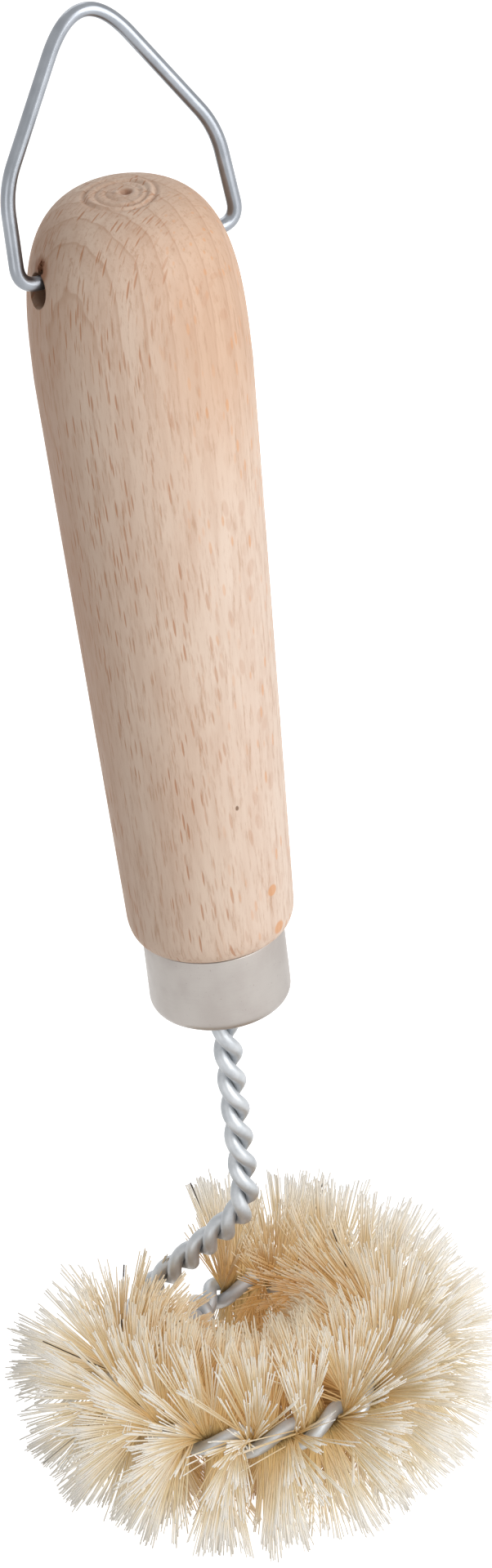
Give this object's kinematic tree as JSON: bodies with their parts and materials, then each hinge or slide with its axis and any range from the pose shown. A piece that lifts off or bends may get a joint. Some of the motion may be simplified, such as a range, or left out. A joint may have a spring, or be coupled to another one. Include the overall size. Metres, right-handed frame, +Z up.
{
  "type": "drain brush",
  "caption": "Drain brush with a turned wooden handle, a swinging wire hanging loop, a pressed ferrule and a twisted-wire stem bent into a ring of natural bristles.",
  "frame": {"origin": "under the middle of the bounding box, on the plane that the lowest bristle tips stand on", "axes": "+Z up along the handle, +X along the hanging loop's hinge axis, -Y towards the front of the brush"},
  "size_m": [0.0752, 0.072, 0.2491],
  "materials": {
    "beech": "turned and sanded, unvarnished",
    "tinplate": "satin",
    "galvanised_wire": "satin",
    "bristle": "natural pale bristle"
  },
  "bodies": {
    "brush": {"handle": "beech", "ferrule": "tinplate", "stem_wire_a": "galvanised_wire", "stem_wire_b": "galvanised_wire", "bristles_left": "bristle", "bristles_front": "bristle", "bristles_right": "bristle", "bristles_back": "bristle"},
    "loop": {"hanging_loop": "galvanised_wire"}
  },
  "joints": [
    {"name": "loop_swing", "type": "hinge", "parent": "brush", "child": "loop", "pos_m": [0.0018, 0.0014, 0.2111], "axis": [1, 0, 0], "range_deg": [-136, 156]}
  ]
}
